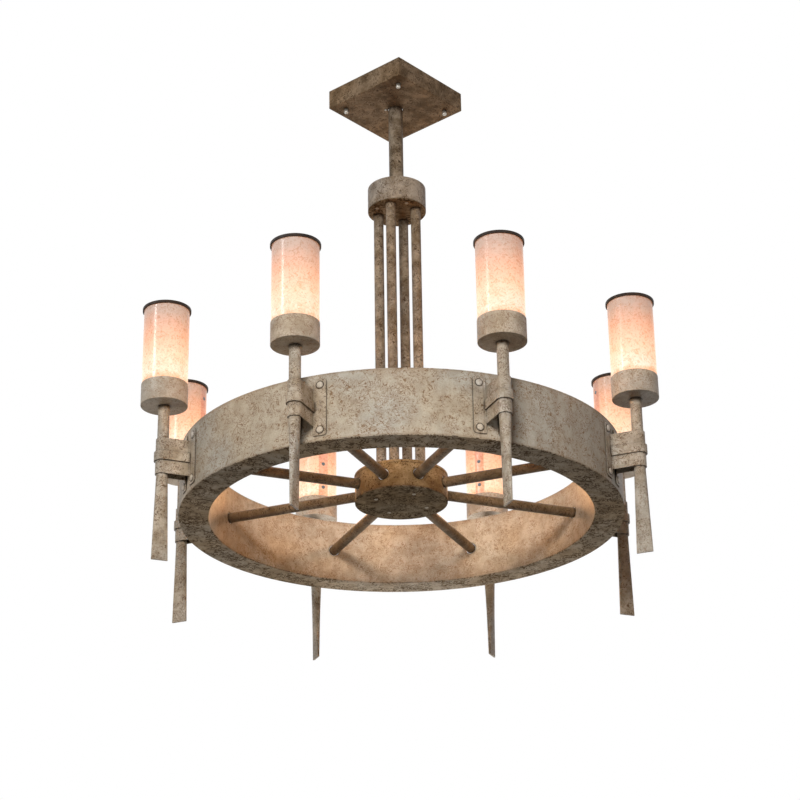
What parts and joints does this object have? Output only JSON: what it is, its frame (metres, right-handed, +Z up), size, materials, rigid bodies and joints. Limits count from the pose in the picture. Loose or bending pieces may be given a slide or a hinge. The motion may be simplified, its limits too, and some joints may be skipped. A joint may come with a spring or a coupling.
{
  "type": "wagon wheel chandelier",
  "caption": "Wagon wheel chandelier: a deep hollow rim on round spokes, hung by parallel tubes from a stem and square canopy, with cup and cylinder torches around it.",
  "frame": {"origin": "middle of the ceiling plane, on the chandelier's axis", "axes": "+Z up, away from the room and into the ceiling; +X towards the right of the picture's view, +Y away from the viewer"},
  "size_m": [1.0454, 1.0454, 1.1705],
  "materials": {
    "rim_finish": "weathered taupe, mottled, satin",
    "rim_underside": "dark bronze with hammered streaks",
    "drum_finish": "weathered bronze, mottled, satin",
    "tube_finish": "weathered bronze, satin",
    "torch_finish": "weathered taupe with rust speckles, satin",
    "canopy_finish": "weathered taupe, mottled, satin",
    "trim_finish": "near-black bronze, satin",
    "rivet_finish": "worn steel",
    "bright_hardware": "worn bright steel",
    "ceiling_hardware": "zinc plated steel",
    "shade_mica": "translucent rolled mica sheet, warm white when lit",
    "lampholder_porcelain": "glazed white",
    "bulb_glass": "frosted, warm white"
  },
  "bodies": {
    "frame": {"mounting_crossbar": "ceiling_hardware", "stud_cross": "ceiling_hardware", "stem_nipple": "ceiling_hardware", "nipple_locknut": "ceiling_hardware", "stem_top_plug": "ceiling_hardware", "stem": "tube_finish", "stem_locknut": "ceiling_hardware", "collar_body": "drum_finish", "collar_plate": "drum_finish", "collar_screws": "bright_hardware", "hanger_tube_1": "tube_finish", "hanger_tube_2": "tube_finish", "hanger_tube_3": "tube_finish", "hanger_tube_4": "tube_finish", "hanger_locknuts": "ceiling_hardware", "hub_drum": "drum_finish", "hub_lid": "drum_finish", "hub_base_plate": "drum_finish", "hub_screws": "bright_hardware", "spokes": "tube_finish", "spoke_locknuts": "ceiling_hardware", "rim_outer_band": "rim_finish", "rim_inner_band": "rim_finish", "rim_top_plate": "rim_finish", "rim_bottom_plate": "rim_underside", "torch_stems": "torch_finish", "bracket_straps": "torch_finish", "wrap_bands": "torch_finish", "bracket_rivets": "rivet_finish", "cups": "torch_finish", "lampholders": "lampholder_porcelain", "canopy_studs": "ceiling_hardware"},
    "canopy": {"canopy": "canopy_finish", "canopy_nuts": "bright_hardware", "canopy_screw": "bright_hardware"},
    "shade_1": {"shade_1": "shade_mica", "trim_ring_1": "trim_finish"},
    "bulb_1": {"bulb_1": "bulb_glass"},
    "shade_2": {"shade_2": "shade_mica", "trim_ring_2": "trim_finish"},
    "bulb_2": {"bulb_2": "bulb_glass"},
    "shade_3": {"shade_3": "shade_mica", "trim_ring_3": "trim_finish"},
    "bulb_3": {"bulb_3": "bulb_glass"},
    "shade_4": {"shade_4": "shade_mica", "trim_ring_4": "trim_finish"},
    "bulb_4": {"bulb_4": "bulb_glass"},
    "shade_5": {"shade_5": "shade_mica", "trim_ring_5": "trim_finish"},
    "bulb_5": {"bulb_5": "bulb_glass"},
    "shade_6": {"shade_6": "shade_mica", "trim_ring_6": "trim_finish"},
    "bulb_6": {"bulb_6": "bulb_glass"},
    "shade_7": {"shade_7": "shade_mica", "trim_ring_7": "trim_finish"},
    "bulb_7": {"bulb_7": "bulb_glass"},
    "shade_8": {"shade_8": "shade_mica", "trim_ring_8": "trim_finish"},
    "bulb_8": {"bulb_8": "bulb_glass"}
  },
  "joints": [
    {"name": "canopy_slide", "type": "slide", "parent": "frame", "child": "canopy", "axis": [0, 0, -1], "range_m": [0, 0.2]},
    {"name": "shade_1_lift", "type": "slide", "parent": "frame", "child": "shade_1", "axis": [0, 0, 1], "range_m": [0, 0.055]},
    {"name": "bulb_1_lift", "type": "slide", "parent": "frame", "child": "bulb_1", "axis": [0, 0, 1], "range_m": [0, 0.03]},
    {"name": "shade_2_lift", "type": "slide", "parent": "frame", "child": "shade_2", "axis": [0, 0, 1], "range_m": [0, 0.055]},
    {"name": "bulb_2_lift", "type": "slide", "parent": "frame", "child": "bulb_2", "axis": [0, 0, 1], "range_m": [0, 0.03]},
    {"name": "shade_3_lift", "type": "slide", "parent": "frame", "child": "shade_3", "axis": [0, 0, 1], "range_m": [0, 0.055]},
    {"name": "bulb_3_lift", "type": "slide", "parent": "frame", "child": "bulb_3", "axis": [0, 0, 1], "range_m": [0, 0.03]},
    {"name": "shade_4_lift", "type": "slide", "parent": "frame", "child": "shade_4", "axis": [0, 0, 1], "range_m": [0, 0.055]},
    {"name": "bulb_4_lift", "type": "slide", "parent": "frame", "child": "bulb_4", "axis": [0, 0, 1], "range_m": [0, 0.03]},
    {"name": "shade_5_lift", "type": "slide", "parent": "frame", "child": "shade_5", "axis": [0, 0, 1], "range_m": [0, 0.055]},
    {"name": "bulb_5_lift", "type": "slide", "parent": "frame", "child": "bulb_5", "axis": [0, 0, 1], "range_m": [0, 0.03]},
    {"name": "shade_6_lift", "type": "slide", "parent": "frame", "child": "shade_6", "axis": [0, 0, 1], "range_m": [0, 0.055]},
    {"name": "bulb_6_lift", "type": "slide", "parent": "frame", "child": "bulb_6", "axis": [0, 0, 1], "range_m": [0, 0.03]},
    {"name": "shade_7_lift", "type": "slide", "parent": "frame", "child": "shade_7", "axis": [0, 0, 1], "range_m": [0, 0.055]},
    {"name": "bulb_7_lift", "type": "slide", "parent": "frame", "child": "bulb_7", "axis": [0, 0, 1], "range_m": [0, 0.03]},
    {"name": "shade_8_lift", "type": "slide", "parent": "frame", "child": "shade_8", "axis": [0, 0, 1], "range_m": [0, 0.055]},
    {"name": "bulb_8_lift", "type": "slide", "parent": "frame", "child": "bulb_8", "axis": [0, 0, 1], "range_m": [0, 0.03]}
  ]
}
